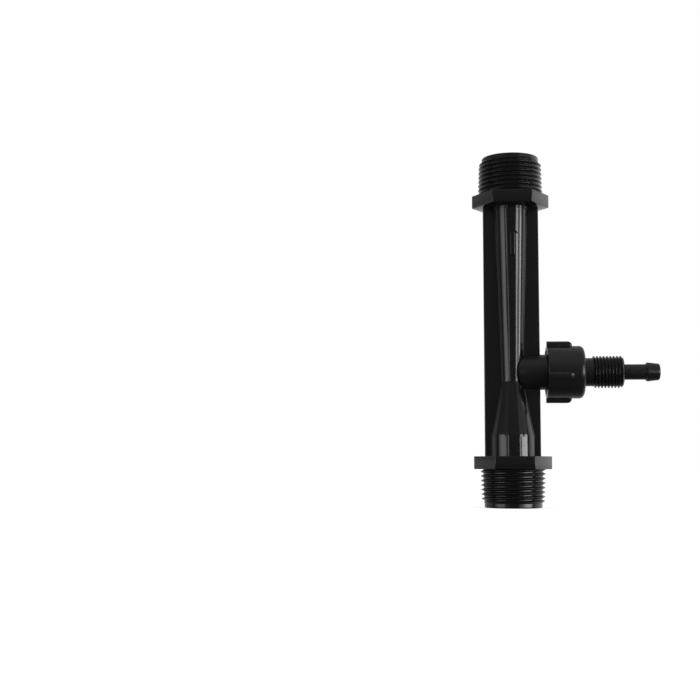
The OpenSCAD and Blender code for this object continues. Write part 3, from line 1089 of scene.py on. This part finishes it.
def studio_world(fill, yaw):
    """A world that the camera sees white, that glossy faces see as a studio, and that lights softly."""
    world = bpy.data.worlds.new("Studio")
    bpy.context.scene.world = world
    world.use_nodes = True
    nodes = world.node_tree.nodes
    links = world.node_tree.links
    nodes.clear()
    path = nodes.new("ShaderNodeLightPath").outputs
    soft = background(nodes, fill)
    mirrored = background(nodes)
    links.new(studio_levels(nodes, links, yaw), mirrored.inputs["Color"])
    white = background(nodes)
    unseen = mix_shaders(nodes, links, path["Is Glossy Ray"], soft.outputs["Background"],
                         mirrored.outputs["Background"])
    through = maths(nodes, links, "MAXIMUM", path["Is Camera Ray"], path["Is Transmission Ray"])
    both = mix_shaders(nodes, links, through, unseen, white.outputs["Background"])
    links.new(both, nodes.new("ShaderNodeOutputWorld").inputs["Surface"])


def floor_material():
    """Pale floor: white where nothing shades it, with the object's soft shadow."""
    material = bpy.data.materials.new("Pale floor")
    material.use_nodes = True
    nodes = material.node_tree.nodes
    links = material.node_tree.links
    nodes.clear()
    matt = nodes.new("ShaderNodeBsdfDiffuse")
    matt.inputs["Color"].default_value = (FLOOR_GREY, FLOOR_GREY, FLOOR_GREY, 1.0)
    glow = nodes.new("ShaderNodeEmission")
    glow.inputs["Color"].default_value = WHITE
    seen = nodes.new("ShaderNodeLightPath").outputs["Is Camera Ray"]
    links.new(map_range(nodes, links, seen, 0.0, 1.0, 0.0, FLOOR_LIFT), glow.inputs["Strength"])
    both = nodes.new("ShaderNodeAddShader")
    links.new(matt.outputs["BSDF"], both.inputs[0])
    links.new(glow.outputs["Emission"], both.inputs[1])
    output = nodes.new("ShaderNodeOutputMaterial")
    links.new(both.outputs["Shader"], output.inputs["Surface"])
    return material


def softbox(name, bearings, heights, radiance, tilt=0.0):
    """A flat lamp that fills a range of bearings, in degrees as seen from the object, and of heights."""
    start, end = (math.radians(bearing) for bearing in bearings)
    low, high = (height * MM for height in heights)
    bearing = (start + end) / 2
    lamp = bpy.data.lights.new(name, "AREA")
    lamp.shape = "RECTANGLE"
    lamp.size = 2 * LAMP_DISTANCE * math.tan((end - start) / 2)
    lamp.size_y = high - low
    lamp.energy = radiance * math.pi * lamp.size * lamp.size_y
    obj = bpy.data.objects.new(name, lamp)
    bpy.context.scene.collection.objects.link(obj)
    obj.location = (LAMP_DISTANCE * math.sin(bearing), -LAMP_DISTANCE * math.cos(bearing),
                    (low + high) / 2)
    obj.rotation_euler = (math.pi / 2, 0, bearing)
    obj.rotation_euler.rotate_axis("Z", tilt)
    obj.visible_camera = False


class INJECTOR_OT_stage(Operator):
    """Makes the camera, the studio world, the pale floor and the softboxes"""

    bl_idname = "injector.stage"
    bl_label = "Studio Stage"

    def execute(self, context):
        scene = context.scene
        settings = scene.injector_stage
        scene.view_settings.view_transform = "Standard"
        self.camera(scene, settings)
        studio_world(settings.fill, settings.yaw)
        self.floor()
        for light, panels in ((settings.left_light, LEFT_PANELS), (settings.right_light, RIGHT_PANELS)):
            for name, bearings, heights, share in panels:
                softbox(name, bearings, heights, light * share)
        name, bearings, heights, share = TILTED_STRIP
        softbox(name, bearings, heights, settings.left_light * share, STRIP_TILT)
        return {"FINISHED"}

    def camera(self, scene, settings):
        camera = bpy.data.cameras.new("Camera")
        camera.lens = settings.lens
        camera.sensor_width = settings.sensor
        camera.sensor_height = settings.sensor
        camera.clip_start = CLIP_START
        obj = bpy.data.objects.new("Camera", camera)
        scene.collection.objects.link(obj)
        obj.location = settings.eye
        obj.rotation_euler = (math.pi / 2 + settings.pitch, 0, -settings.yaw)
        obj.rotation_euler.rotate_axis("Z", settings.roll)
        scene.camera = obj

    def floor(self):
        bpy.ops.object.select_all(action="DESELECT")
        bpy.ops.mesh.primitive_circle_add(vertices=FLOOR_POINTS, radius=FLOOR_RADIUS, fill_type="NGON")
        floor = bpy.context.object
        floor.name = "floor"
        floor.data.materials.append(floor_material())
        floor.visible_glossy = False


class INJECTOR_PT_panel(Panel):
    """Lists the pieces of the injector in the sidebar"""

    bl_idname = "INJECTOR_PT_panel"
    bl_label = "Venturi Injector"
    bl_space_type = "VIEW_3D"
    bl_region_type = "UI"
    bl_category = "Injector"

    def draw(self, context):
        layout = self.layout
        for operator in OPERATORS:
            layout.operator(operator.bl_idname)


SETTINGS = (
    ("injector_ends", PipeEndSizes),
    ("injector_tube", TubeSizes),
    ("injector_port", PortSizes),
    ("injector_nut", NutSizes),
    ("injector_tail", TailSizes),
    ("injector_looks", FinishLooks),
    ("injector_stage", StageSettings),
)
OPERATORS = (INJECTOR_OT_body, INJECTOR_OT_union_nut, INJECTOR_OT_hose_tail, INJECTOR_OT_valve,
             INJECTOR_OT_stage)


def register():
    for name, group in SETTINGS:
        bpy.utils.register_class(group)
        setattr(bpy.types.Scene, name, PointerProperty(type=group))
    for operator in OPERATORS:
        bpy.utils.register_class(operator)
    bpy.utils.register_class(INJECTOR_PT_panel)


def unregister():
    bpy.utils.unregister_class(INJECTOR_PT_panel)
    for operator in reversed(OPERATORS):
        bpy.utils.unregister_class(operator)
    for name, group in reversed(SETTINGS):
        delattr(bpy.types.Scene, name)
        bpy.utils.unregister_class(group)


def main():
    register()
    bpy.ops.injector.body()
    bpy.ops.injector.union_nut()
    bpy.ops.injector.hose_tail()
    bpy.ops.injector.valve()
    bpy.ops.injector.stage()


if __name__ == "__main__":
    main()
